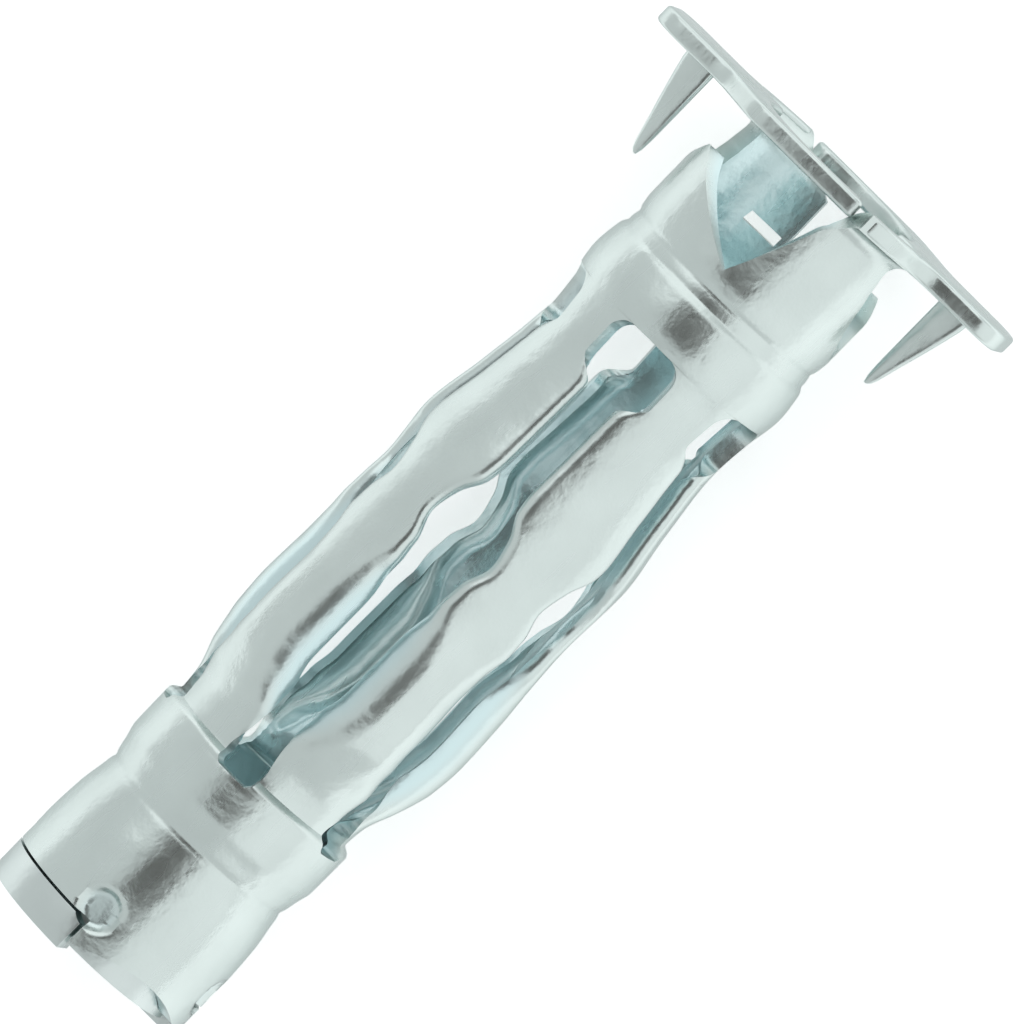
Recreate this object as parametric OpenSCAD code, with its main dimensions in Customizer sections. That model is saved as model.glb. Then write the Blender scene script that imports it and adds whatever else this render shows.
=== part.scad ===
// Hollow wall anchor: a rolled sheet sleeve with five folding legs and a threaded nut in its tail.
// The axis lies along X with the head at +X, and one slot faces up.
// X = 0 is the flange's underside, which bears on the wall.

/* [Sleeve] */
// Length from the tail end to the underside of the flange
sleeve_l = 51.1; // [45:0.1:60]
// Outside diameter of the two rings
ring_d = 11.8; // [11:0.1:13]
// Thickness of the sheet
sheet_t = 0.95; // [0.7:0.05:1.1]
// Depth of the leg edges that are turned inwards
edge_turn = 1.5; // [1.2:0.05:1.6]

/* [Slots] */
// Number of slots, with a leg between each two
slot_count = 5; // [5:1:5]
// Width of the slots between the legs
slot_w = 2.6; // [1.8:0.1:3.2]
// Width of the hole halfway along each slot
mid_hole_w = 5.2; // [4.4:0.1:5.6]
// Length of the hole halfway along each slot
mid_hole_l = 4.4; // [3.6:0.1:5]
// Width of the hole at the head end of each slot
head_hole_w = 4.3; // [3.8:0.1:5]
// Length of the hole at the head end of each slot
head_hole_l = 2.8; // [2.2:0.1:3.4]
// Corner radius of the slot's tail end
slot_corner_r = 0.5; // [0.3:0.05:0.8]
// Width of the open seam where the rolled sheet meets
seam_w = 0.3; // [0.2:0.05:0.5]

/* [Flange] */
// Length over both wings
flange_l = 22.7; // [20:0.1:26]
// Width across the middle
flange_w = 11.4; // [10.4:0.1:12.6]
// Width of each wing
wing_w = 5.7; // [4.8:0.1:6.6]
// Corner radius of the wing ends
wing_corner_r = 1.6; // [1:0.1:2.2]
// Gap between the two halves
split_gap = 0.4; // [0.2:0.05:0.8]
// Radius of the bend between the sleeve and the flange
flare_r = 1; // [0.6:0.1:1.4]
// Length of the prongs under the wings
prong_l = 5.4; // [4:0.1:6.5]
// Width of the prongs at their base
prong_w = 1.95; // [1.4:0.05:2.4]

/* [Nut] */
// Nominal thread diameter
thread_d = 6; // [5:1:6]
// Thread pitch
thread_pitch = 1; // [0.8:0.1:1]
// Length of the nut
nut_l = 7; // [6:0.1:7.4]
// Length of the nut's two ears along the axis
ear_l = 1.85; // [1.4:0.05:2.2]
// Clearance between the nut and the sleeve
fit_gap = 0.06; // [0.04:0.01:0.1]
// Diameter of the stakes that hold the nut
stake_d = 2.2; // [1.6:0.1:2.6]
// Depth of the stakes
stake_h = 0.5; // [0.3:0.05:0.6]

/* [Hidden] */
$fn = 96;
overrun = 1;
skin_steps = 2;
ring_r = ring_d / 2;
reach = flange_l;

// Share of the length and share of the ring radius at each station of the outside skin
skin_shares = [
    [0.014, 1.000], [0.070, 1.002], [0.112, 0.984], [0.154, 0.936], [0.172, 0.960], [0.190, 0.994],
    [0.235, 0.998], [0.243, 0.920], [0.264, 0.936], [0.300, 1.046], [0.335, 1.136], [0.368, 1.166],
    [0.418, 1.150], [0.470, 1.112], [0.520, 1.092], [0.590, 1.114], [0.660, 1.030], [0.735, 0.962],
    [0.772, 0.986], [0.812, 1.034], [0.838, 1.010], [0.858, 0.966], [0.882, 0.990], [1.009, 0.992]
];
// Share of the length at the slot's ends and at the hole between them
slot_start_share = 0.229;
slot_mid_share = 0.539;
slot_end_share = 0.790;
// Share of the length where the turned edges start and stop
turn_start_share = 0.262;
turn_end_share = 0.762;
// Share of the length at the cut-backs for the ears and at the rim's scallop
cut_back_share = 0.039;
scallop_share = 0.0313;
scallop_r_share = 0.6;
stake_share = 0.053;
// Outlines of the head's notches as shares of the ring radius and of the length
facing_notch_shares = [
    [-0.035, 0.884], [0.06, 0.900], [0.175, 0.930], [0.325, 0.975], [0.42, 0.988], [0.50, 1.00], [0.52, 1.04],
    [-0.935, 1.04], [-0.93, 1.00], [-0.885, 0.966], [-0.840, 0.951], [-0.73, 0.937],
    [-0.585, 0.924], [-0.33, 0.907]
];
rear_notch_shares = [
    [-0.035, 0.884], [0.03, 0.900], [0.05, 0.985], [0.46, 0.988], [0.50, 1.00], [0.52, 1.04],
    [-0.935, 1.04], [-0.93, 1.00], [-0.885, 0.966], [-0.840, 0.951], [-0.73, 0.937],
    [-0.585, 0.924], [-0.33, 0.907],
];
// Slit under the rear tongue, from one corner to the other
rear_slit_shares = [[0.08, 0.916], [0.55, 0.916], [0.55, 0.927], [0.08, 0.927]];
side_notch_shares = [
    [-0.02, 0.887], [0.14, 0.900], [0.36, 0.930], [0.45, 0.960], [0.495, 0.987], [0.51, 1.04],
    [-0.72, 1.04], [-0.665, 0.982], [-0.56, 0.959], [-0.38, 0.943], [-0.17, 0.930], [-0.10, 0.910]
];
// Outline of a prong as shares of its width and length
prong_shares = [
    [0.00, -0.10], [0.02, 0.90], [0.05, 0.97], [0.11, 1.00], [0.17, 0.98], [0.25, 0.91],
    [0.47, 0.70], [0.67, 0.48], [0.84, 0.27], [0.95, 0.10], [1.00, -0.10]
];
prong_place_share = 0.668;
// Straight part of the flange's middle and the end of its slanted edge
middle_share = 0.74;
slant_share = 1.21;
// Share of the ring radius where the slot and notch cutters start
slot_cut_share = 0.63;
notch_cut_share = 0.18;
// Share of the bend's radius that its arc is flattened by, and of the sheet that the flange overlaps by
arc_share = 1.35;
lip_share = 0.3;
// Depth of the thread as a share of its pitch, and the corner of a slot's head end
thread_depth_share = 0.541;
head_corner_share = 0.333;
slot_turn = 360 / slot_count;
seam_turn = 2 * slot_turn;
split_turn = 28;
scallop_turn = 40;
tab_start = 31;
tab_sweep = 29;
ear_start = -88;
ear_sweep = 86;
quarter = 90;
half_turn = 180;

skin_last = len(skin_shares) - 1;
head_r = ring_r * skin_shares[skin_last][1];
rim_r = head_r + flare_r + sheet_t * lip_share;
hole_r = head_r - sheet_t * (1 + lip_share);
arc_r = flare_r * arc_share;
arc_off = (flare_r + sqrt(2 * arc_r * arc_r - flare_r * flare_r)) / 2;
bore_r = thread_d / 2 - thread_pitch * thread_depth_share;
slot_start = sleeve_l * slot_start_share;
slot_end = sleeve_l * slot_end_share;
slot_mid = sleeve_l * slot_mid_share;

// Smooth outside skin through the stations
function skin_rise(i) =
    (skin_shares[i + 1][1] - skin_shares[i][1]) / (skin_shares[i + 1][0] - skin_shares[i][0]);
function skin_lean(i) =
    i == 0 || i == skin_last ? 0 :
    skin_rise(i - 1) * skin_rise(i) <= 0 ? 0 :
    2 * skin_rise(i - 1) * skin_rise(i) / (skin_rise(i - 1) + skin_rise(i));
function skin_blend(i, u) =
    let (run = skin_shares[i + 1][0] - skin_shares[i][0], uu = u * u, uuu = uu * u)
    (2 * uuu - 3 * uu + 1) * skin_shares[i][1] + (uuu - 2 * uu + u) * run * skin_lean(i)
    + (3 * uu - 2 * uuu) * skin_shares[i + 1][1] + (uuu - uu) * run * skin_lean(i + 1);
function skin_point(i, u) =
    let (run = skin_shares[i + 1][0] - skin_shares[i][0])
    [ring_r * skin_blend(i, u), sleeve_l * (skin_shares[i][0] + u * run)];
skin = [
    for (i = [0 : skin_last - 1]) for (k = [0 : skin_steps - 1]) skin_point(i, k / skin_steps),
    skin_point(skin_last - 1, 1)
];
function backwards(list) = [for (i = [len(list) - 1 : -1 : 0]) list[i]];
function shrunk(list, inset) = [for (p = list) [p[0] - inset, p[1]]];

// Turns the upright part into the shared frame
module placed() {
    translate([-sleeve_l, 0, 0])
    rotate([0, quarter, 0])
    rotate([0, 0, half_turn])
    children();
}

// Pushes an outline outwards at one azimuth, from a share of the ring radius
module outwards(azimuth, share) {
    rotate([0, 0, azimuth])
    rotate([quarter, 0, quarter])
    translate([0, 0, ring_r * share])
    linear_extrude(reach)
    children();
}

// Box with rounded corners, centred across
module rounded_box(width, low, high, corner) {
    translate([-width / 2 + corner, low])
        square([width - 2 * corner, high - low]);
    translate([-width / 2, low + corner])
        square([width, high - low - 2 * corner]);
    for (side = [-1, 1])
        for (level = [low + corner, high - corner])
            translate([side * (width / 2 - corner), level])
                circle(corner);
}

// Outline of a slot with its two holes, grown all round
module slot_outline(grow) {
    rounded_box(slot_w + 2 * grow, slot_start - grow, slot_end - head_hole_l / 2, slot_corner_r + grow);
    rounded_box(
        mid_hole_w + 2 * grow, slot_mid - mid_hole_l / 2 - grow, slot_mid + mid_hole_l / 2 + grow,
        mid_hole_l / 2 + grow - fit_gap
    );
    rounded_box(
        head_hole_w + 2 * grow, slot_end - head_hole_l - grow, slot_end + grow,
        head_hole_l * head_corner_share + grow
    );
}

module slots() {
    for (k = [0 : slot_count - 1])
        outwards(k * slot_turn, slot_cut_share)
            slot_outline(0);
}

// Strips beside the slots where the sheet is turned inwards
module turned_strips() {
    for (k = [0 : slot_count - 1])
        outwards(k * slot_turn, slot_cut_share)
            intersection() {
                slot_outline(sheet_t);
                translate([-ring_d, sleeve_l * turn_start_share])
                    square([2 * ring_d, sleeve_l * (turn_end_share - turn_start_share)]);
            }
}

// Room inside the sheet, with both ends run over
module inside() {
    first = skin[0];
    last = skin[len(skin) - 1];
    rotate_extrude()
        polygon(concat(
            [[0, first[1] - overrun], [first[0] - sheet_t, first[1] - overrun]],
            shrunk(skin, sheet_t),
            [[last[0] - sheet_t, last[1] + overrun], [0, last[1] + overrun]]
        ));
}

// Rolled wall with its legs and turned edges
module rolled_wall() {
    difference() {
        rotate_extrude()
            polygon(concat(skin, backwards(shrunk(skin, edge_turn))));
        difference() {
            inside();
            turned_strips();
        }
        slots();
    }
}

// Part of a ring at the tail
module tail_quarter(start, sweep, radius, low, high) {
    rotate([0, 0, start])
        rotate_extrude(angle = sweep)
            translate([ring_r * slot_cut_share, low])
                square([radius - ring_r * slot_cut_share, high - low]);
}

module notch(shares) {
    polygon([for (p = shares) [p[0] * ring_r, p[1] * sleeve_l]]);
}

// Notches of the head, the cut-backs and scallops of the tail and the open seam
module end_cuts() {
    for (turn = [0, half_turn]) {
        outwards(turn, notch_cut_share)
            notch(turn == 0 ? facing_notch_shares : rear_notch_shares);
        outwards(turn + quarter, notch_cut_share)
            mirror([1, 0])
                notch(side_notch_shares);
        tail_quarter(turn - quarter, quarter, ring_d, -overrun, sleeve_l * cut_back_share);
        outwards(turn + scallop_turn, slot_cut_share)
            translate([0, sleeve_l * scallop_share - ring_d * scallop_r_share])
                circle(ring_d * scallop_r_share);
    }
    outwards(half_turn, slot_cut_share)
        notch(rear_slit_shares);
    outwards(seam_turn, slot_cut_share)
        translate([-seam_w / 2, -overrun])
            square([seam_w, slot_start + overrun + slot_corner_r]);
    outwards(seam_turn, slot_cut_share)
        translate([-seam_w / 2, slot_end - slot_corner_r])
            square([seam_w, sleeve_l - slot_end]);
}

// Round stake at one azimuth, from one radius outwards
module stake(azimuth, diameter, low, high) {
    rotate([0, 0, azimuth])
        translate([low, 0, sleeve_l * stake_share])
            rotate([0, quarter, 0])
                cylinder(h = high - low, d = diameter);
}

// Plan of the flange's half that reaches to +Y
module half_flange_plan() {
    difference() {
        intersection() {
            union() {
                translate([-wing_w / 2, 0])
                    square([wing_w, flange_l / 2 - wing_corner_r]);
                translate([-wing_w / 2 + wing_corner_r, 0])
                    square([wing_w - 2 * wing_corner_r, flange_l / 2]);
                for (side = [-1, 1])
                    translate([side * (wing_w / 2 - wing_corner_r), flange_l / 2 - wing_corner_r])
                        circle(wing_corner_r);
                polygon([
                    [0, -flange_w], [-flange_w / 2, -flange_w], [-flange_w / 2, middle_share * flange_w / 2],
                    [-wing_w / 2, slant_share * flange_w / 2], [0, slant_share * flange_w / 2]
                ]);
                intersection() {
                    circle(rim_r);
                    square(flange_l);
                }
            }
            rotate(split_turn)
                translate([-flange_l, split_gap / 2])
                    square(2 * flange_l);
        }
        circle(hole_r);
    }
}

// One half of the flange with its bend and prong
module half_flange() {
    translate([0, 0, sleeve_l])
        linear_extrude(sheet_t)
            half_flange_plan();
    rotate([0, 0, tab_start])
        rotate_extrude(angle = tab_sweep)
            translate([head_r, sleeve_l])
                difference() {
                    translate([-sheet_t / 2, -flare_r])
                        square([flare_r + sheet_t / 2, flare_r + sheet_t / 2]);
                    translate([arc_off, -arc_off])
                        circle(arc_r);
                }
    translate([-sheet_t / 2, flange_l / 2 * prong_place_share, sleeve_l])
        rotate([quarter, 0, quarter])
            linear_extrude(sheet_t)
                polygon([for (p = prong_shares) [p[0] * prong_w, -p[1] * prong_l]]);
}

// Rolled sheet sleeve in one piece with the flange
module sleeve() {
    color("silver")
    placed()
    union() {
        difference() {
            union() {
                rolled_wall();
                for (k = [0 : 3])
                    stake(k * quarter, stake_d, ring_r - sheet_t - stake_h + fit_gap, ring_r - sheet_t / 2);
            }
            end_cuts();
            for (k = [0 : 3])
                stake(k * quarter, stake_d - stake_h, ring_r - stake_h, ring_d);
        }
        for (turn = [0, half_turn])
            rotate([0, 0, turn])
                half_flange();
    }
}

// Threaded nut with two ears that sit in the sleeve's cut-backs
module tail_nut() {
    low = skin[0];
    body = [for (p = skin) if (p[1] < nut_l) [p[0] - sheet_t - fit_gap, p[1]]];
    top = body[len(body) - 1];
    color("lightsteelblue")
    placed()
    difference() {
        union() {
            rotate_extrude()
                polygon(concat(
                    [[0, low[1] / 2], [low[0] - sheet_t - fit_gap, low[1] / 2]],
                    body,
                    [[top[0] - fit_gap, nut_l], [0, nut_l]]
                ));
            for (turn = [0, half_turn])
                tail_quarter(turn + ear_start, ear_sweep, ring_r, 0, ear_l);
        }
        translate([0, 0, -overrun])
            cylinder(h = nut_l + 2 * overrun, r = bore_r);
        for (k = [0 : 3])
            stake(
                k * quarter, stake_d + 2 * fit_gap,
                ring_r - sheet_t - stake_h, ring_d
            );
    }
}

sleeve();
tail_nut();
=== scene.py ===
"""Looks of the hollow wall anchor: a rolled, zinc plated sleeve with a threaded nut in its tail.

Sizes are in millimetres, in the sleeve's own upright frame: azimuth 0 is the slot that faces up,
z runs from the tail to the head. placed() turns a point into the shared frame, in metres.
"""

import math

import bmesh
import bpy
from mathutils import Matrix, Vector


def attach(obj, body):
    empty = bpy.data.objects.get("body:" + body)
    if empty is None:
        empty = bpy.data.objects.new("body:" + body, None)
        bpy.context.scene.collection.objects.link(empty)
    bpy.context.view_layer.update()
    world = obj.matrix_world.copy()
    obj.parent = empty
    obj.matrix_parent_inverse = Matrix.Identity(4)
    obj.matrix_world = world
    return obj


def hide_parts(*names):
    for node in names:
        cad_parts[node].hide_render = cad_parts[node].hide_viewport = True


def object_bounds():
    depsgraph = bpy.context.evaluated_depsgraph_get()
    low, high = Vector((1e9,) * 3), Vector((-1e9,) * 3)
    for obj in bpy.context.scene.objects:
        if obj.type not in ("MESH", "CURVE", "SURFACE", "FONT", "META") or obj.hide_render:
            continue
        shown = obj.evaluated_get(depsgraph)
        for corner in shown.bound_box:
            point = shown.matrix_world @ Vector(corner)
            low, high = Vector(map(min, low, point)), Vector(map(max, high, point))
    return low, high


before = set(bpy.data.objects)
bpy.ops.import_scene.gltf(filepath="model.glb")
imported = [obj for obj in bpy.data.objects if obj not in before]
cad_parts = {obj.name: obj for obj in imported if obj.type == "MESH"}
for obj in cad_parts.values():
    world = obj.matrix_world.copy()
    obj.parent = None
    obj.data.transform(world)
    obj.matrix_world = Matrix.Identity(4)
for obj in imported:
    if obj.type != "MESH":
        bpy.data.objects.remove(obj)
cad_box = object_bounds()

# Driving sizes
MM = 0.001
SLEEVE_L = 51.1
RING_R = 5.9
SHEET_T = 0.95
FLANGE_L = 22.7
FLANGE_W = 11.4
WING_W = 5.7
WING_CORNER_R = 1.6
SPLIT_GAP = 0.4
SPLIT_TURN = 28.0
FLARE_R = 1.0
PRONG_L = 5.4
PRONG_W = 1.95
PRONG_PLACE_SHARE = 0.668
NUT_L = 7.0
NUT_EDGE_R = 0.14
THREAD_PITCH = 1.0
THREAD_R, THREAD_RIDGE_R = 2.56, 0.3
THREAD_START, THREAD_SHORTER = 0.9, 1.4

# Points of the sheet closer than this are one point, and tail and head are laid out in quarters
WELD = 0.001
QUARTER = 90

# Outside skin: share of the length and share of the ring radius
SKIN_SHARES = [
    (0.014, 1.000), (0.070, 1.002), (0.112, 0.984), (0.154, 0.936), (0.172, 0.960),
    (0.190, 0.994), (0.235, 0.998), (0.243, 0.920), (0.264, 0.936), (0.300, 1.046),
    (0.335, 1.136), (0.368, 1.164), (0.418, 1.150), (0.470, 1.112), (0.520, 1.092),
    (0.590, 1.114), (0.660, 1.030), (0.735, 0.962), (0.772, 0.986), (0.812, 1.034),
    (0.838, 1.010), (0.858, 0.966), (0.882, 0.990), (1.009, 0.992),
]

# Rolled grooves: place, depth and width
GROOVES = [(7.9, 0.09, 0.2), (43.35, 0.07, 0.16), (44.05, 0.07, 0.16)]

# Slots: number, ends, and along the sleeve the half width to the start of the bent edges
SLOT_COUNT = 5
SLOT_TURN = 360 / SLOT_COUNT
SLOT_START, SLOT_END = 11.7, 40.4
CORNER_R, HEAD_CORNER_R = 0.4, 1.0
SLOT_HALVES = [
    (11.7, 1.14), (13.0, 1.18), (14.8, 1.80), (16.6, 3.10), (18.4, 3.55), (21.4, 3.55),
    (23.2, 2.95), (25.0, 2.12), (25.8, 2.12), (27.4, 2.58), (28.9, 2.30), (30.3, 1.58),
    (31.6, 1.44), (36.6, 1.44), (38.0, 2.12), (40.4, 2.12),
]

# Edges of the legs, turned inwards: length and radius of the turned strip along the sleeve
TURNED_LENGTHS = [
    (12.6, 0), (14.6, 0.9), (17.0, 2.66), (21.4, 2.66), (24.6, 1.25), (27.5, 0.8),
    (31.0, 1.2), (36.0, 1.2), (37.9, 0),
]
TURN_RADII = [(13.0, 0.45), (17.4, 1.80), (21.4, 1.80), (25.2, 0.5), (26.4, 0.45)]
TURN_ANGLE = math.radians(98)

# Thickness of the turned strip, and where the sheet thins: before the bend, past it, and on
# strips up to this length only in part
TURN_T = 0.42
THINNED_BEFORE, THINNED_PAST, THINNED_TURN = 0.9, 0.05, 0.6

# Tail and head
RIM_Z, CUT_BACK_Z = 0.716, 1.993
SCALLOP_Z, SCALLOP_R, SCALLOP_TURN = 1.6, 7.08, 40.0
STAKE_Z, STAKE_R, STAKE_H, STAKE_FLOOR_SHARE = 2.71, 1.25, 0.45, 0.62
NOTCH_Z = 45.15
POINT_Z = 48.75
FLARE_Z = SLEEVE_L - FLARE_R
TAB_LEAN = 0.22

# Edges of the head's tongues: azimuth in degrees against height
TAB_LOW = [
    (NOTCH_Z, 0.0), (45.5, 1.5), (46.0, 4.0), (47.5, 10.5), (49.8, 19.5), (50.5, 25.5), (51.2, 29.0),
]
REAR_TAB_LOW = [(NOTCH_Z, 0.0), (45.9, 2.5), (50.2, 3.0), (50.5, 24.0), (51.2, 29.0)]
TAB_HIGH = [
    (NOTCH_Z, QUARTER), (46.0, 80.0), (46.6, 74.0), (47.5, 68.5), (49.0, 63.0), (50.4, 60.0),
    (51.2, 60.0),
]
POINT_LOW = [(NOTCH_Z, 0.0), (46.5, 5.5), (47.5, 9.5), (48.2, 22.0), (POINT_Z, 29.5)]
POINT_HIGH = [(NOTCH_Z, QUARTER), (46.3, 70.0), (47.2, 55.0), (47.9, 43.0), (POINT_Z, 32.0)]
POINT = (POINT_LOW, POINT_HIGH)
TONGUES = [(TAB_LOW, TAB_HIGH), POINT, (REAR_TAB_LOW, TAB_HIGH), POINT]

# Slit in the rear tab: its heights, and its ends among the columns of the sheet
REAR_TAB = 2
SLIT_LOW_Z, SLIT_HIGH_Z, SLIT_COLUMNS = 46.8, 47.4, (3, 18)


def placed(x, y, z):
    """A point of the upright sleeve in the shared frame."""
    return Vector(((z - SLEEVE_L) * MM, -y * MM, x * MM))


def smooth(low, high, value):
    """Smooth step from 0 at low to 1 at high."""
    t = min(1.0, max(0.0, (value - low) / (high - low)))
    return t * t * (3 - 2 * t)


def through(points, value):
    """Straight interpolation through (place, value) points."""
    if value <= points[0][0]:
        return points[0][1]
    for (a, u), (b, v) in zip(points, points[1:]):
        if value <= b:
            return u + (v - u) * (value - a) / (b - a)
    return points[-1][1]


def curve(points):
    """Smooth curve through (place, value) points, without overshoot and level beyond its ends."""
    rise = [(b[1] - a[1]) / (b[0] - a[0]) for a, b in zip(points, points[1:])]
    leans = [2 * p * q / (p + q) if p * q > 0 else 0.0 for p, q in zip(rise, rise[1:])]
    leans = [0.0] + leans + [0.0]

    def at(place):
        place = min(max(place, points[0][0]), points[-1][0])
        for i, (a, b) in enumerate(zip(points, points[1:])):
            if place <= b[0]:
                run = b[0] - a[0]
                u = (place - a[0]) / run
                uu, uuu = u * u, u * u * u
                value = (2 * uuu - 3 * uu + 1) * a[1] + (uuu - 2 * uu + u) * run * leans[i]
                return value + (3 * uu - 2 * uuu) * b[1] + (uuu - uu) * run * leans[i + 1]

    return at


skin_share, slot_width = curve(SKIN_SHARES), curve(SLOT_HALVES)
turned_length, turn_radius = curve(TURNED_LENGTHS), curve(TURN_RADII)


def skin_radius(z):
    """Outside radius of the rolled sheet at height z."""
    grooves = sum(depth * math.exp(-((z - place) / width) ** 2) for place, depth, width in GROOVES)
    return RING_R * skin_share(z / SLEEVE_L) - grooves


def slot_half(z):
    """Half width from a slot's middle to the start of its bent edge, 0 where the ring is closed."""
    if z <= SLOT_START or z >= SLOT_END:
        return 0.0
    half, low, high = slot_width(z), z - SLOT_START, SLOT_END - z
    if low < CORNER_R:
        half += math.sqrt(CORNER_R ** 2 - (CORNER_R - low) ** 2) - CORNER_R
    if high < HEAD_CORNER_R:
        half += math.sqrt(HEAD_CORNER_R ** 2 - (HEAD_CORNER_R - high) ** 2) - HEAD_CORNER_R
    return half


def turned_run(z, past):
    """(run across the slot, drop to the axis, bend) of a strip, past the start of its bend."""
    radius = turn_radius(z)
    bend = min(past / radius, TURN_ANGLE)
    straight = max(0.0, past - radius * TURN_ANGLE)
    run = radius * math.sin(bend) + straight * math.cos(TURN_ANGLE)
    return run, radius * (1 - math.cos(bend)) + straight * math.sin(TURN_ANGLE), bend


def turned_point(z, radius, azimuth, past, side):
    """(x, y, normal x, normal y) of the outside skin, past the start of a bend to the slot."""
    a = math.radians(azimuth)
    out, across = (math.cos(a), math.sin(a)), (math.sin(a) * side, -math.cos(a) * side)
    run, drop, bend = turned_run(z, past)
    x = radius * out[0] + run * across[0] - drop * out[0]
    y = radius * out[1] + run * across[1] - drop * out[1]
    nx = out[0] * math.cos(bend) + across[0] * math.sin(bend)
    ny = out[1] * math.cos(bend) + across[1] * math.sin(bend)
    return x, y, nx, ny


# Columns of the sheet: shares of a leg's and of a tongue's width, closer near the edges
EDGE_SHARES = [0, 0.05, 0.12, 0.2, 0.28, 0.36, 0.44, 0.52, 0.6, 0.7, 0.84, 1.0]
LEG_EDGE_SHARE, LEG_COLUMNS = 0.36, 18
TONGUE_EDGE_SHARE, TONGUE_COLUMNS = 0.29, 28


def shares_across(zone, middle):
    """Shares of a width at which the sheet is sampled, closer within a zone at either edge."""
    low = [zone * s for s in EDGE_SHARES]
    inner = [zone + (1 - 2 * zone) * k / middle for k in range(1, middle)]
    return low + inner + [1 - share for share in reversed(low)]


def azimuths_round(count, shares):
    """Azimuths right round the axis, with the same shares in each of a number of parts."""
    return [360 / count * (k + s) for k in range(count) for s in shares[:-1]] + [360.0]


LEG_SHARES = shares_across(LEG_EDGE_SHARE, LEG_COLUMNS)
TONGUE_SHARES = shares_across(TONGUE_EDGE_SHARE, TONGUE_COLUMNS)
LEG_AZIMUTHS = azimuths_round(SLOT_COUNT, LEG_SHARES)
TONGUE_AZIMUTHS = azimuths_round(len(TONGUES), TONGUE_SHARES)


def stake_depth(z, away):
    """Depth of the round stakes at the corners of the tail."""
    d = math.hypot(z - STAKE_Z, away)
    return STAKE_H * (1 - smooth(STAKE_FLOOR_SHARE * STAKE_R, STAKE_R, d))


def ring_point(azimuth, height):
    """Outside and inside points of the closed sheet."""
    a = math.radians(azimuth)
    corner = abs((azimuth + QUARTER / 2) % QUARTER - QUARTER / 2)
    radius = skin_radius(height) - stake_depth(height, RING_R * math.radians(corner))
    inside = radius - SHEET_T
    return (placed(radius * math.cos(a), radius * math.sin(a), height),
            placed(inside * math.cos(a), inside * math.sin(a), height))


def ring_row(z, share):
    """Sheet right round. share 0 samples it as the legs do, 1 as the tongues do."""
    azimuths = [a + (b - a) * share for a, b in zip(LEG_AZIMUTHS, TONGUE_AZIMUTHS)]
    return list(zip(*[ring_point(azimuth, z) for azimuth in azimuths]))


def skirt_row(quarter, share):
    """Sheet between the scalloped rim (share 0) and the height of the cut back tail (share 1)."""
    points = []
    for part in TONGUE_SHARES:
        away = RING_R * math.sin(math.radians(QUARTER * part - SCALLOP_TURN))
        rim = max(RIM_Z, SCALLOP_Z - SCALLOP_R + math.sqrt(SCALLOP_R ** 2 - away ** 2))
        points.append(ring_point(QUARTER * (quarter + part), rim + (CUT_BACK_Z - rim) * share))
    return list(zip(*points))


def leg_row(z):
    """Sheet across the leg that follows the first slot, with both edges turned inwards."""
    radius = skin_radius(z)
    away = math.degrees(math.asin(slot_half(z) / radius))
    low, high, turn = away, SLOT_TURN - away, turned_length(z)
    length = 2 * turn + radius * math.radians(high - low)
    outer, inner = [], []
    for share in LEG_SHARES:
        to_low, to_high = length * share - turn, length * (1 - share) - turn
        if to_low < 0:
            x, y, nx, ny = turned_point(z, radius, low, -to_low, 1)
        elif to_high < 0:
            x, y, nx, ny = turned_point(z, radius, high, -to_high, -1)
        else:
            a = math.radians(low) + to_low / radius
            nx, ny = math.cos(a), math.sin(a)
            x, y = radius * nx, radius * ny
        thinned = smooth(-THINNED_BEFORE, THINNED_PAST, max(-to_low, -to_high))
        thinned *= smooth(0.0, THINNED_TURN, turn)
        thick = SHEET_T + (TURN_T - SHEET_T) * thinned
        outer.append(placed(x, y, z))
        inner.append(placed(x - thick * nx, y - thick * ny, z))
    return outer, inner


def tongue_row(tongue, z, flare=0.0):
    """Sheet across one tongue of the head. flare is the angle of a tab's bend."""
    radius = skin_radius(z) + (0 if tongue % 2 else TAB_LEAN * smooth(NOTCH_Z, POINT_Z, z))
    out, height = radius + FLARE_R * (1 - math.cos(flare)), z + FLARE_R * math.sin(flare)
    inside, inside_height = out - SHEET_T * math.cos(flare), height + SHEET_T * math.sin(flare)
    low, high = [QUARTER * tongue + through(side, height) for side in TONGUES[tongue]]
    outer, inner = [], []
    for share in TONGUE_SHARES:
        a = math.radians(low + (high - low) * share)
        outer.append(placed(out * math.cos(a), out * math.sin(a), height))
        inner.append(placed(inside * math.cos(a), inside * math.sin(a), inside_height))
    return outer, inner


def steps(low, high, count):
    """Evenly spaced values from low up to high, without high."""
    return [low + (high - low) * k / count for k in range(count)]


def heights(stretches, end):
    """Heights through (start, number of steps) stretches that follow each other up to an end."""
    stops = [start for start, _ in stretches[1:]] + [end]
    rows = [steps(start, stop, count) for (start, count), stop in zip(stretches, stops)]
    return sum(rows, []) + [end]


# Rows of the sheet, closer where it bends. Near the ends of a slot they lie this far from them
FIRST_ROW, SECOND_ROW, LAST_ROW = 0.01, 0.06, 0.02
LEG_STRETCHES = [
    (SLOT_START + SECOND_ROW, 12), (13.2, 20), (18, 12), (23.5, 30), (31.5, 10), (36.4, 14), (39.3, 12),
]
LEG_ROWS = [SLOT_START, SLOT_START + FIRST_ROW]
LEG_ROWS += heights(LEG_STRETCHES, SLOT_END - LAST_ROW) + [SLOT_END]
TAIL_ROWS = heights([(CUT_BACK_Z, 20), (4.2, 6), (6.8, 20), (9.8, 7)], SLOT_START)
HEAD_ROWS = heights([(SLOT_END, 8), (42.8, 18), (44.6, 4)], NOTCH_Z)
POINT_ROWS = [
    NOTCH_Z, 45.3, 45.5, 45.8, 46.1, 46.45, SLIT_LOW_Z, SLIT_HIGH_Z, 47.7, 48, 48.25, 48.5, POINT_Z,
]
TAB_ROWS = POINT_ROWS + steps(49, FLARE_Z, 5)
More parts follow.
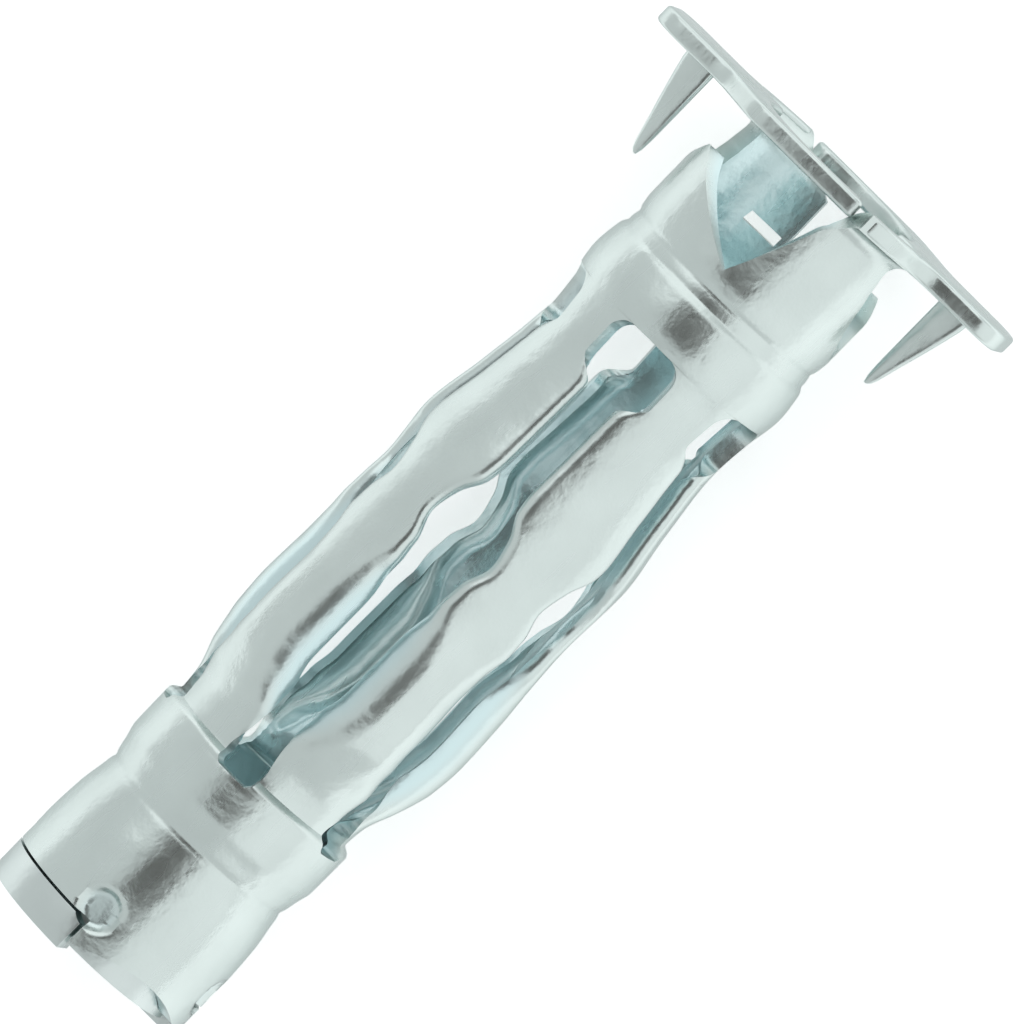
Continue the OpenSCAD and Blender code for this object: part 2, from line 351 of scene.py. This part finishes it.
TAB_FLARES = steps(0, math.radians(90), 10) + [math.radians(90)]
SKIRT_STEPS = 8

# Height at which the tail ring begins to change from the tongues' columns to the legs'
BLEND_Z = 8.6

# Depth below the skin, in shares of the sheet, between which the painted reflection fades in: a teal
# tone on the inner faces that stands in for light bouncing inside the sleeve
PAINTED_REFLECTION_SHARES = (0.1, 1.0)


def shell(mesh, rows, walls=False, bottom=(), top=False, slit=None):
    """Adds a sheet from rows of outside and inside points, closed where a wall is asked for."""
    outer = [[mesh.verts.new(p) for p in row[0]] for row in rows]
    inner = [[mesh.verts.new(p) for p in row[1]] for row in rows]
    last = len(outer[0]) - 1
    slit_row, (slit_low, slit_high) = slit or (None, (0, 0))

    def closing(near, far, k):
        mesh.faces.new((near[k], near[k + 1], far[k + 1], far[k]))

    for i, (a, b, c, d) in enumerate(zip(outer, outer[1:], inner, inner[1:])):
        for k in range(last):
            if i == slit_row and slit_low <= k < slit_high:
                closing(a, c, k)
                closing(d, b, k)
                continue
            closing(a, b, k)
            closing(d, c, k)
        if walls:
            mesh.faces.new((a[0], b[0], d[0], c[0]))
            mesh.faces.new((a[last], c[last], d[last], b[last]))
        if i == slit_row:
            mesh.faces.new((a[slit_low], c[slit_low], d[slit_low], b[slit_low]))
            mesh.faces.new((a[slit_high], b[slit_high], d[slit_high], c[slit_high]))
    for k in bottom:
        closing(inner[0], outer[0], k)
    for k in range(last if top else 0):
        closing(outer[-1], inner[-1], k)


# Plan of the flange: shares of the sheet or the flare that set its radii, the root of a wing
# from the wing's side and the rim, shares of half the width at its shoulder, and its arcs from
# one azimuth to another in a number of steps
RIM_SHARE, HOLE_SHARE, SEAT_SHARE = 0.3, 1.3, 0.3
WING_ROOT = [(0.25, -0.35), (0.05, 0.25), (0.0, 1.0)]
SHOULDER_SHARES = (1.21, 0.74)
RIM_ARC = (SPLIT_TURN + 10, 58, 6)
HOLE_ARC = (SPLIT_TURN + 164, 78, 20)
SEAT_ARC = (54, SPLIT_TURN + 12, 4)
WING_ARCS = [(0, 90, 8), (90, 180, 8)]
HOLE_CORNER, SEAT_CORNER = 64, 63

# Finish of the flange: rounded corners and rolled edges
FLANGE_CORNER_R, FLANGE_ROLL_R = 0.8, 0.2
SHARP_TURN, CUT_SHARE, CORNER_STEPS = 0.35, 0.45, 4
SAME_POINT = 1e-6
MITRE_LIMIT = 0.35
ROLL_STEPS = 4


def polar(radius, azimuth):
    """Plan point at a radius and an azimuth in degrees."""
    return radius * math.cos(math.radians(azimuth)), radius * math.sin(math.radians(azimuth))


def arc(radius, start, end, count):
    """Plan points along an arc round the axis."""
    return [polar(radius, start + (end - start) * k / count) for k in range(count + 1)]


def on_split(along):
    """A point on the edge of the split between the flange's halves."""
    x, y = polar(along, SPLIT_TURN)
    ax, ay = polar(SPLIT_GAP / 2, SPLIT_TURN + 90)
    return x + ax, y + ay


def half_flange_outline():
    """Plan of the flange's half that joins the first tab."""
    head_r = skin_radius(SLEEVE_L)
    rim_r = head_r + FLARE_R + RIM_SHARE * SHEET_T
    hole_r = head_r - HOLE_SHARE * SHEET_T
    seat_r = head_r + SEAT_SHARE * FLARE_R
    half_w, half_l, mid = WING_W / 2, FLANGE_L / 2, FLANGE_W / 2
    corner, inset_w = half_l - WING_CORNER_R, half_w - WING_CORNER_R
    outline = [on_split(seat_r), on_split(rim_r)] + arc(rim_r, *RIM_ARC)
    outline += [(half_w + across, rim_r + along) for across, along in WING_ROOT]
    for side, wing_arc in zip((1, -1), WING_ARCS):
        outline += [(side * inset_w + x, corner + y) for x, y in arc(WING_CORNER_R, *wing_arc)]
    outline += [(-half_w, SHOULDER_SHARES[0] * mid), (-mid, SHOULDER_SHARES[1] * mid)]
    split = math.radians(SPLIT_TURN)
    far = -(mid - SPLIT_GAP / 2 * math.sin(split)) / math.cos(split)
    outline += [on_split(far), on_split(-hole_r)] + arc(hole_r, *HOLE_ARC)
    outline += [polar(hole_r, HOLE_CORNER), polar(seat_r, SEAT_CORNER)]
    return outline + arc(seat_r, *SEAT_ARC)


def rounded(outline, size):
    """The outline with its corners cut into short arcs."""
    out = []
    count = len(outline)
    for i, p in enumerate(outline):
        p = Vector(p)
        before, after = Vector(outline[i - 1]) - p, Vector(outline[(i + 1) % count]) - p
        if before.length < SAME_POINT or after.length < SAME_POINT:
            continue
        turn = math.pi - before.angle(after)
        if turn < SHARP_TURN:
            out.append(p)
            continue
        cut = min(size, CUT_SHARE * before.length, CUT_SHARE * after.length)
        start, end = p + before.normalized() * cut, p + after.normalized() * cut
        for k in range(CORNER_STEPS + 1):
            u = k / CORNER_STEPS
            out.append(start * (1 - u) ** 2 + p * 2 * u * (1 - u) + end * u * u)
    return out


def inset(plan, amount):
    """The plan moved inwards by an amount."""
    count = len(plan)
    area = sum(plan[i - 1][0] * plan[i][1] - plan[i][0] * plan[i - 1][1] for i in range(count))
    side = 1 if area > 0 else -1
    moved = []
    for i in range(count):
        p = Vector(plan[i])
        before = (p - Vector(plan[i - 1])).normalized()
        after = (Vector(plan[(i + 1) % count]) - p).normalized()
        turn = max(MITRE_LIMIT, 1 + before.dot(after))
        moved.append(p + Vector((-before.y - after.y, before.x + after.x)) * side * amount / turn)
    return moved


def closed_tube(mesh, rings):
    """Joins rings of points into a closed tube and returns its faces, the two ends first."""
    count = len(rings[0])
    made = [mesh.faces.new(rings[0]), mesh.faces.new(list(reversed(rings[-1])))]
    for a, b in zip(rings, rings[1:]):
        made += [mesh.faces.new((a[k - 1], a[k], b[k], b[k - 1])) for k in range(count)]
    bmesh.ops.recalc_face_normals(mesh, faces=made)
    return made


def slab(mesh, plan, low, high, roll):
    """Adds a plate with rolled edges."""
    turns = steps(0, math.radians(90), ROLL_STEPS) + [math.radians(90)]
    levels = [(roll * (1 - math.sin(t)), low + roll * (1 - math.cos(t))) for t in turns]
    levels += [(roll * (1 - math.cos(t)), high - roll * (1 - math.sin(t))) for t in turns]
    rings = []
    for inward, height in levels:
        rings.append([mesh.verts.new(placed(x, y, height)) for x, y in inset(plan, inward)])
    made = closed_tube(mesh, rings)
    bmesh.ops.triangulate(mesh, faces=made[:2], ngon_method="EAR_CLIP")


# Prong: tilt, shares of its length, shares of its width at both sides, tip and rounded section
PRONG_PLACE = PRONG_PLACE_SHARE * FLANGE_L / 2
PRONG_TILT = math.radians(-14)
PRONG_SHARES = [-0.1] + steps(0.02, 0.9, 12) + [0.9, 0.94, 0.97, 0.99, 1.0]
PRONG_OUTER_SHARES = [(-0.1, 0.0), (0.8, 0.01), (0.93, 0.03), (1.0, 0.08)]
PRONG_INNER_SHARES = [
    (-0.1, 1.0), (0.1, 0.93), (0.27, 0.81), (0.48, 0.65), (0.7, 0.47), (0.9, 0.32), (0.97, 0.24),
    (1.0, 0.16),
]
PRONG_TIP_SHARE = 0.35
PRONG_SIDES, PRONG_CROWN = 24, 0.6


def crowned(value):
    """Turns a sine or cosine into that of a squarer, crowned section."""
    return math.copysign(abs(value) ** PRONG_CROWN, value)


def prong(mesh):
    """Adds a tapered prong with a crowned section, from inside the wing to its blunt tip."""
    rings = []
    for v in PRONG_SHARES:
        sides = (PRONG_OUTER_SHARES, PRONG_INNER_SHARES)
        low, high = [PRONG_PLACE + PRONG_W * through(side, v) for side in sides]
        middle, half = (low + high) / 2, (high - low) / 2
        taper = PRONG_TIP_SHARE + (1 - PRONG_TIP_SHARE) * math.sqrt(max(0.0, 1 - v))
        thick = SHEET_T / 2 * min(1.0, taper)
        ring = []
        for turn in steps(0, 2 * math.pi, PRONG_SIDES):
            out = thick * crowned(math.sin(turn)) - half * math.cos(turn) * math.sin(PRONG_TILT)
            along = middle + half * crowned(math.cos(turn))
            ring.append(mesh.verts.new(placed(out, along, SLEEVE_L - v * PRONG_L)))
        rings.append(ring)
    closed_tube(mesh, rings)


def mesh_data(name, mesh):
    """A plain mesh from a working mesh."""
    data = bpy.data.meshes.new(name)
    mesh.to_mesh(data)
    mesh.free()
    return data


def one_leg():
    """The leg that follows the first slot."""
    mesh = bmesh.new()
    shell(mesh, [leg_row(z) for z in LEG_ROWS], walls=True)
    return mesh_data("one_leg", mesh)


def half_flange():
    """One half of the flange with its prong."""
    mesh = bmesh.new()
    plan = rounded(half_flange_outline(), FLANGE_CORNER_R)
    slab(mesh, plan, SLEEVE_L, SLEEVE_L + SHEET_T, FLANGE_ROLL_R)
    prong(mesh)
    return mesh_data("half_flange", mesh)


def rings_and_tongues(parts):
    """Tail ring, head ring and tongues, welded to the legs, with the flange in the same mesh."""
    mesh = bmesh.new()
    for part in parts:
        mesh.from_mesh(part)
    shares = [1 - smooth(BLEND_Z, SLOT_START, z) for z in TAIL_ROWS]
    columns = len(TONGUE_SHARES) - 1
    cut_back = [k for k in range(len(TONGUES) * columns) if k // columns % 2]
    shell(mesh, [ring_row(z, w) for z, w in zip(TAIL_ROWS, shares)], bottom=cut_back)
    skirt_shares = [k / SKIRT_STEPS for k in range(SKIRT_STEPS + 1)]
    for quarter in range(0, len(TONGUES), 2):
        rows = [skirt_row(quarter, share) for share in skirt_shares]
        shell(mesh, rows, walls=True, bottom=range(columns))
    shares = [smooth(SLOT_END, NOTCH_Z, z) for z in HEAD_ROWS]
    shell(mesh, [ring_row(z, w) for z, w in zip(HEAD_ROWS, shares)])
    for tongue in range(len(TONGUES)):
        if tongue % 2:
            rows = [tongue_row(tongue, z) for z in POINT_ROWS]
        else:
            rows = [tongue_row(tongue, z) for z in TAB_ROWS]
            rows += [tongue_row(tongue, FLARE_Z, turn) for turn in TAB_FLARES]
        slit = (POINT_ROWS.index(SLIT_LOW_Z), SLIT_COLUMNS) if tongue == REAR_TAB else None
        shell(mesh, rows, walls=True, top=True, slit=slit)
    bmesh.ops.remove_doubles(mesh, verts=mesh.verts, dist=WELD * MM)
    # The depth attribute is the mask of the painted reflection: depth below the outside skin, faded out
    # on the flare
    depth = mesh.verts.layers.float.new("depth")
    for vert in mesh.verts:
        z, radius = vert.co.x / MM + SLEEVE_L, math.hypot(vert.co.y, vert.co.z) / MM
        painted_reflection_share = smooth(*PAINTED_REFLECTION_SHARES, (skin_radius(z) - radius) / SHEET_T)
        vert[depth] = painted_reflection_share * (1 - smooth(FLARE_Z, SLEEVE_L, z))
    return mesh_data("sleeve_sheet", mesh)


# Nut: edges that turn by less than the first angle are taken out, and by more than the second
# are rounded, in a number of steps
FLAT_ANGLE, HARD_ANGLE = math.radians(1), math.radians(40)
NUT_EDGE_STEPS = 3


def rounded_nut(node):
    """The CAD nut as a piece of the scene, with its hard edges rounded."""
    mesh = bmesh.new()
    mesh.from_mesh(node.data)
    mesh.transform(node.matrix_world)
    bmesh.ops.remove_doubles(mesh, verts=mesh.verts, dist=WELD * MM)
    bmesh.ops.dissolve_limit(mesh, angle_limit=FLAT_ANGLE, verts=mesh.verts, edges=mesh.edges)
    joined = [edge for edge in mesh.edges if len(edge.link_faces) == 2]
    bmesh.ops.bevel(
        mesh, geom=[edge for edge in joined if edge.calc_face_angle() > HARD_ANGLE],
        offset=NUT_EDGE_R * MM, segments=NUT_EDGE_STEPS, profile=0.5, affect="EDGES",
        clamp_overlap=True,
    )
    return mesh_data("nut_body", mesh)


# Finish: colours and roughness of the sheet and the nut, and the painted reflection on the sheet's
# inner faces: a teal tone that stands in for light bouncing inside the sleeve
SHEET_COLOUR, SHEET_INSIDE_PAINTED_REFLECTION, SHEET_ROUGHNESS = (0.705, 0.785, 0.765), (0.67, 0.83, 0.845), 0.27
NUT_COLOUR, NUT_ROUGHNESS = (0.69, 0.76, 0.748), 0.28

# Patterns of the finish: scales, ends and darkest tone of the clouds, depths of the bumps in
# metres, tint where the metal is seen edge on, and the spread of the roughness
CLOUD_SCALE, DENT_SCALE, SPECKLE_SCALE, SCRATCH_SCALE = 260, 950, 5200, 900
CLOUD_DETAIL, DENT_DETAIL, SPECKLE_DETAIL, SCRATCH_DETAIL = 4, 3, 2, 3
SCRATCH_STRETCH = (0.12, 1, 1)
CLOUD_ENDS = (0.3, 0.7)
CLOUD_TONE = 0.92
GRAIN_DEPTH, DENT_DEPTH = 0.00002, 0.00015
GRAIN_STRENGTH, DENT_STRENGTH = 0.22, 0.33
EDGE_TINT = (0.55, 0.57, 0.57, 1)
ROUGHNESS_SPREAD = (0.8, 1.3)


def plated_steel(name, colour, roughness, inside=None):
    """Zinc plated steel: metal with cloudy tone, fine speckle, small dents and scuffs along the axis.

    inside is a painted reflection: a teal tone, standing in for light that bounces inside the sleeve,
    mixed in where the piece's depth attribute says that the sheet faces the axis.
    """
    made = bpy.data.materials.new(name)
    made.use_nodes = True
    nodes, links = made.node_tree.nodes, made.node_tree.links
    shader = nodes["Principled BSDF"]
    shader.inputs["Metallic"].default_value = 1.0
    shader.inputs["Specular Tint"].default_value = EDGE_TINT
    place = nodes.new("ShaderNodeTexCoord")

    def noise(scale, detail, stretch=(1, 1, 1)):
        mapping = nodes.new("ShaderNodeMapping")
        mapping.inputs["Scale"].default_value = stretch
        links.new(place.outputs["Object"], mapping.inputs["Vector"])
        made_noise = nodes.new("ShaderNodeTexNoise")
        made_noise.inputs["Scale"].default_value = scale
        made_noise.inputs["Detail"].default_value = detail
        links.new(mapping.outputs["Vector"], made_noise.inputs["Vector"])
        return made_noise.outputs["Fac"]

    def bump(height, strength, depth):
        made_bump = nodes.new("ShaderNodeBump")
        made_bump.inputs["Strength"].default_value = strength
        made_bump.inputs["Distance"].default_value = depth
        links.new(height, made_bump.inputs["Height"])
        return made_bump

    clouds = nodes.new("ShaderNodeValToRGB")
    dark, light = clouds.color_ramp.elements
    dark.position, light.position = CLOUD_ENDS
    dark.color, light.color = (*[c * CLOUD_TONE for c in colour], 1), (*colour, 1)
    links.new(noise(CLOUD_SCALE, CLOUD_DETAIL), clouds.inputs["Fac"])
    painted = clouds.outputs["Color"]
    # Painted reflection: the teal tone of light bouncing inside the sleeve, mixed in by the depth
    # attribute
    if inside:
        depth, mix = nodes.new("ShaderNodeAttribute"), nodes.new("ShaderNodeMixRGB")
        depth.attribute_name = "depth"
        mix.inputs["Color2"].default_value = (*inside, 1)
        links.new(depth.outputs["Fac"], mix.inputs["Fac"])
        links.new(painted, mix.inputs["Color1"])
        painted = mix.outputs["Color"]
    links.new(painted, shader.inputs["Base Color"])
    rough = nodes.new("ShaderNodeMapRange")
    rough.inputs["To Min"].default_value = roughness * ROUGHNESS_SPREAD[0]
    rough.inputs["To Max"].default_value = roughness * ROUGHNESS_SPREAD[1]
    links.new(noise(SCRATCH_SCALE, SCRATCH_DETAIL, SCRATCH_STRETCH), rough.inputs["Value"])
    links.new(rough.outputs["Result"], shader.inputs["Roughness"])
    dents = bump(noise(DENT_SCALE, DENT_DETAIL), DENT_STRENGTH, DENT_DEPTH)
    grain = bump(noise(SPECKLE_SCALE, SPECKLE_DETAIL), GRAIN_STRENGTH, GRAIN_DEPTH)
    links.new(dents.outputs["Normal"], grain.inputs["Normal"])
    links.new(grain.outputs["Normal"], shader.inputs["Normal"])
    return made


# The sheet's inner faces get a painted reflection, a teal tone for light bouncing inside the sleeve
ZINC = plated_steel("zinc_sheet", SHEET_COLOUR, SHEET_ROUGHNESS, SHEET_INSIDE_PAINTED_REFLECTION)
ZINC_NUT = plated_steel("zinc_nut", NUT_COLOUR, NUT_ROUGHNESS)


# Geometry nodes
def socket(group, name):
    """Identifier of a group's named input."""
    for item in group.interface.items_tree:
        if item.item_type == "SOCKET" and item.in_out == "INPUT" and item.name == name:
            return item.identifier
    raise KeyError(name)


def group_with(name, inputs):
    """Empty geometry node group with named inputs of (kind, value)."""
    group = bpy.data.node_groups.new(name, "GeometryNodeTree")
    group.interface.new_socket("Geometry", in_out="INPUT", socket_type="NodeSocketGeometry")
    for label, (kind, value) in inputs.items():
        made = group.interface.new_socket(label, in_out="INPUT", socket_type="NodeSocket" + kind)
        made.default_value = value
    group.interface.new_socket("Geometry", in_out="OUTPUT", socket_type="NodeSocketGeometry")
    return group


def turned_copies():
    """Copies of a piece round the axis, welded where they meet."""
    group = group_with("turned_copies", {"Copies": ("Int", 2), "Weld": ("Float", 2 * WELD * MM)})
    nodes, links = group.nodes, group.links
    source, sink = nodes.new("NodeGroupInput"), nodes.new("NodeGroupOutput")
    points = nodes.new("GeometryNodePoints")
    index = nodes.new("GeometryNodeInputIndex")
    step = nodes.new("ShaderNodeMath")
    step.operation = "DIVIDE"
    step.inputs[0].default_value = 2 * math.pi
    angle = nodes.new("ShaderNodeMath")
    angle.operation = "MULTIPLY"
    turn = nodes.new("ShaderNodeCombineXYZ")
    place = nodes.new("GeometryNodeInstanceOnPoints")
    real = nodes.new("GeometryNodeRealizeInstances")
    weld = nodes.new("GeometryNodeMergeByDistance")
    paint = nodes.new("GeometryNodeSetMaterial")
    paint.inputs["Material"].default_value = ZINC
    links.new(source.outputs["Copies"], points.inputs["Count"])
    links.new(source.outputs["Copies"], step.inputs[1])
    links.new(index.outputs[0], angle.inputs[0])
    links.new(step.outputs[0], angle.inputs[1])
    links.new(angle.outputs[0], turn.inputs["X"])
    links.new(points.outputs[0], place.inputs["Points"])
    links.new(source.outputs["Geometry"], place.inputs["Instance"])
    links.new(turn.outputs[0], place.inputs["Rotation"])
    links.new(place.outputs[0], real.inputs[0])
    links.new(real.outputs[0], weld.inputs["Geometry"])
    links.new(source.outputs["Weld"], weld.inputs["Distance"])
    links.new(weld.outputs[0], paint.inputs["Geometry"])
    links.new(paint.outputs[0], sink.inputs[0])
    return group


# Points in one turn of the thread and round its ridge
THREAD_STEPS, RIDGE_SIDES = 40, 6


def thread_ridge():
    """Thread ridge that winds along a bore, lying along X."""
    group = group_with("thread_ridge", {
        "Turns": ("Float", 6.0), "Radius": ("Float", 0.003), "Length": ("Float", 0.006),
        "Ridge": ("Float", 0.0003),
    })
    nodes, links = group.nodes, group.links
    source, sink = nodes.new("NodeGroupInput"), nodes.new("NodeGroupOutput")
    spiral = nodes.new("GeometryNodeCurveSpiral")
    spiral.inputs["Resolution"].default_value = THREAD_STEPS
    ridge = nodes.new("GeometryNodeCurvePrimitiveCircle")
    ridge.inputs["Resolution"].default_value = RIDGE_SIDES
    sweep = nodes.new("GeometryNodeCurveToMesh")
    sweep.inputs["Fill Caps"].default_value = True
    lay = nodes.new("GeometryNodeTransform")
    lay.inputs["Rotation"].default_value = (0, math.radians(90), 0)
    real = nodes.new("GeometryNodeRealizeInstances")
    paint = nodes.new("GeometryNodeSetMaterial")
    paint.inputs["Material"].default_value = ZINC_NUT
    links.new(source.outputs["Turns"], spiral.inputs["Rotations"])
    links.new(source.outputs["Radius"], spiral.inputs["Start Radius"])
    links.new(source.outputs["Radius"], spiral.inputs["End Radius"])
    links.new(source.outputs["Length"], spiral.inputs["Height"])
    links.new(source.outputs["Ridge"], ridge.inputs["Radius"])
    links.new(spiral.outputs[0], sweep.inputs["Curve"])
    links.new(ridge.outputs[0], sweep.inputs["Profile Curve"])
    links.new(sweep.outputs[0], lay.inputs["Geometry"])
    links.new(lay.outputs[0], real.inputs[0])
    links.new(real.outputs[0], paint.inputs["Geometry"])
    links.new(paint.outputs[0], sink.inputs[0])
    return group


def made_by_nodes(name, data, group, values):
    """A plain mesh made by running a node group over a mesh."""
    maker = bpy.data.objects.new(name + "_maker", data)
    bpy.context.scene.collection.objects.link(maker)
    run = maker.modifiers.new("nodes", "NODES")
    run.node_group = group
    for label, value in values.items():
        run[socket(group, label)] = value
    graph = bpy.context.evaluated_depsgraph_get()
    made = bpy.data.meshes.new_from_object(maker.evaluated_get(graph))
    made.name = name
    bpy.data.objects.remove(maker)
    return made


# Edges that turn by more than these angles stay sharp in the shading
SLEEVE_SHARP, NUT_SHARP, THREAD_SHARP = math.radians(40), math.radians(30), math.radians(60)


def shade(piece, sharp):
    """Smooth shading that keeps edges that turn by more than an angle."""
    mesh = bmesh.new()
    mesh.from_mesh(piece.data)
    mesh.normal_update()
    for face in mesh.faces:
        face.smooth = True
    for edge in mesh.edges:
        edge.smooth = not (len(edge.link_faces) == 2 and edge.calc_face_angle() > sharp)
    mesh.to_mesh(piece.data)
    mesh.free()


# Sleeve
legs = made_by_nodes("legs", one_leg(), turned_copies(), {"Copies": SLOT_COUNT})
flange = made_by_nodes("flange", half_flange(), turned_copies(), {"Copies": 2})
sleeve = bpy.data.objects.new("sleeve_sheet", rings_and_tongues([legs, flange]))
sleeve.data.materials.clear()
sleeve.data.materials.append(ZINC)
bpy.context.scene.collection.objects.link(sleeve)
shade(sleeve, SLEEVE_SHARP)
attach(sleeve, "root")
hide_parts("sleeve")

# Nut: the CAD solid with rounded edges, and its thread
nut = bpy.data.objects.new("nut_body", rounded_nut(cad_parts["tail_nut"]))
nut.data.materials.append(ZINC_NUT)
bpy.context.scene.collection.objects.link(nut)
shade(nut, NUT_SHARP)
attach(nut, "root")
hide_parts("tail_nut")
thread_length = NUT_L - THREAD_SHORTER
thread = bpy.data.objects.new("nut_thread", made_by_nodes(
    "nut_thread", bpy.data.meshes.new("empty"), thread_ridge(), {
        "Turns": thread_length / THREAD_PITCH, "Radius": THREAD_R * MM,
        "Length": thread_length * MM, "Ridge": THREAD_RIDGE_R * MM,
    },
))
bpy.context.scene.collection.objects.link(thread)
for vert in thread.data.vertices:
    vert.co.x += (THREAD_START - SLEEVE_L) * MM
shade(thread, THREAD_SHARP)
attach(thread, "root")

# Camera: the photograph's frame, its scale and the place of two points on the axis
IMAGE_W, IMAGE_H = 1019, 1024
PIXELS_PER_MM = 21.0
TAIL_PIXEL, HEAD_PIXEL = (80.7, 953.6), (829.0, 185.9)
CAMERA_DISTANCE = 800.0
SENSOR_W = 36
CLIP_START, CLIP_END = 0.01, 10
ROLL_ABOUT_AXIS = math.radians(8)
TILT_TO_HEAD = math.radians(5.5)
towards = Vector((
    math.sin(TILT_TO_HEAD),
    -math.sin(ROLL_ABOUT_AXIS) * math.cos(TILT_TO_HEAD),
    math.cos(ROLL_ABOUT_AXIS) * math.cos(TILT_TO_HEAD),
))
axis_seen = Vector((1, 0, 0)) - towards * towards.x
axis_seen.normalize()
slope = math.atan2(TAIL_PIXEL[1] - HEAD_PIXEL[1], HEAD_PIXEL[0] - TAIL_PIXEL[0])
right = Matrix.Rotation(-slope, 3, towards) @ axis_seen
up = towards.cross(right)
middle = Vector((-SLEEVE_L / 2, 0, 0))
shift_right = (IMAGE_W / 2 - (TAIL_PIXEL[0] + HEAD_PIXEL[0]) / 2) / PIXELS_PER_MM
shift_up = ((TAIL_PIXEL[1] + HEAD_PIXEL[1]) / 2 - IMAGE_H / 2) / PIXELS_PER_MM
aim = middle + right * shift_right + up * shift_up
stand = Matrix.Translation((aim + towards * CAMERA_DISTANCE) * MM)
camera_data = bpy.data.cameras.new("camera")
camera_data.sensor_width = SENSOR_W
camera_data.lens = SENSOR_W * CAMERA_DISTANCE * PIXELS_PER_MM / IMAGE_H
camera_data.clip_start, camera_data.clip_end = CLIP_START, CLIP_END
camera = bpy.data.objects.new("camera", camera_data)
camera.matrix_world = stand @ Matrix((right, up, towards)).transposed().to_4x4()
bpy.context.scene.collection.objects.link(camera)
bpy.context.scene.camera = camera

# Studio, in metres: a white floor, a dark card that only reflections see, and two lamps with
# their place, size and power
FLOOR_SIZE, FLOOR_DROP = (4, 4), 0.00002
FLOOR_WHITE, FLOOR_GLOW = (0.96, 0.96, 0.96), 0.4
CARD_SIZE, CARD_DISTANCE = (0.2, 0.2), 0.3
CARD_DARK = (0.1, 0.09, 0.085)
CARD_AIM, LAMP_AIM = Vector((-0.026, 0, 0)), Vector((-0.025, 0, 0))
LAMPS = {
    "key": ((0.45, 0.25, 0.42), (0.7, 0.7), 0.7),
    "fill": ((0.1, -0.6, 0.4), (1.2, 0.8), 0.9),
}
SKY_TINT, SKY_STRENGTH = (0.97, 1.0, 1.0, 1), 0.7


def lamp(name, place, size, power):
    """Area lamp that faces the anchor."""
    data = bpy.data.lights.new(name, "AREA")
    data.shape = "RECTANGLE"
    data.size, data.size_y = size
    data.energy = power
    made = bpy.data.objects.new(name, data)
    made.location = place
    made.rotation_euler = (LAMP_AIM - Vector(place)).to_track_quat("-Z", "Y").to_euler()
    bpy.context.scene.collection.objects.link(made)


def sheet_of(name, size, place, facing, colour):
    """Flat rectangle of one matt paint, for the floor and the dark card."""
    mesh = bmesh.new()
    bmesh.ops.create_grid(mesh, x_segments=1, y_segments=1, size=0.5)
    made = bpy.data.objects.new(name, mesh_data(name, mesh))
    made.scale = (*size, 1)
    made.location = place
    made.rotation_euler = facing
    paint = bpy.data.materials.new(name)
    paint.use_nodes = True
    shader = paint.node_tree.nodes["Principled BSDF"]
    shader.inputs["Base Color"].default_value = (*colour, 1)
    shader.inputs["Roughness"].default_value = 1.0
    shader.inputs["Specular IOR Level"].default_value = 0.0
    made.data.materials.append(paint)
    bpy.context.scene.collection.objects.link(made)
    return made


def whiten(paint, strength):
    """Lifts a paint towards white where the camera or a reflection sees it. Its shadows stay."""
    nodes, links = paint.node_tree.nodes, paint.node_tree.links
    path = nodes.new("ShaderNodeLightPath")
    seen = nodes.new("ShaderNodeMath")
    seen_too = nodes.new("ShaderNodeMath")
    level = nodes.new("ShaderNodeMath")
    seen.operation = seen_too.operation = "ADD"
    seen_too.use_clamp = True
    level.operation = "MULTIPLY"
    level.inputs[1].default_value = strength
    links.new(path.outputs["Is Camera Ray"], seen.inputs[0])
    links.new(path.outputs["Is Glossy Ray"], seen.inputs[1])
    links.new(seen.outputs[0], seen_too.inputs[0])
    links.new(path.outputs["Is Transmission Ray"], seen_too.inputs[1])
    links.new(seen_too.outputs[0], level.inputs[0])
    shader = nodes["Principled BSDF"]
    shader.inputs["Emission Color"].default_value = (1, 1, 1, 1)
    links.new(level.outputs[0], shader.inputs["Emission Strength"])


floor_place = (0, 0, cad_box[0][2] - FLOOR_DROP)
floor = sheet_of("floor", FLOOR_SIZE, floor_place, (0, 0, 0), FLOOR_WHITE)
whiten(floor.active_material, FLOOR_GLOW)
card_place = CARD_AIM + towards * CARD_DISTANCE
card = sheet_of("dark_card", CARD_SIZE, card_place, (ROLL_ABOUT_AXIS, TILT_TO_HEAD, 0), CARD_DARK)
card.visible_camera = False
card.visible_diffuse = False
card.visible_shadow = False
for name, (place, size, power) in LAMPS.items():
    lamp(name, place, size, power)

world = bpy.data.worlds.new("studio")
bpy.context.scene.world = world
world.use_nodes = True
background = world.node_tree.nodes["Background"]
background.inputs["Color"].default_value = SKY_TINT
background.inputs["Strength"].default_value = SKY_STRENGTH

bpy.context.scene.view_settings.view_transform = "Standard"
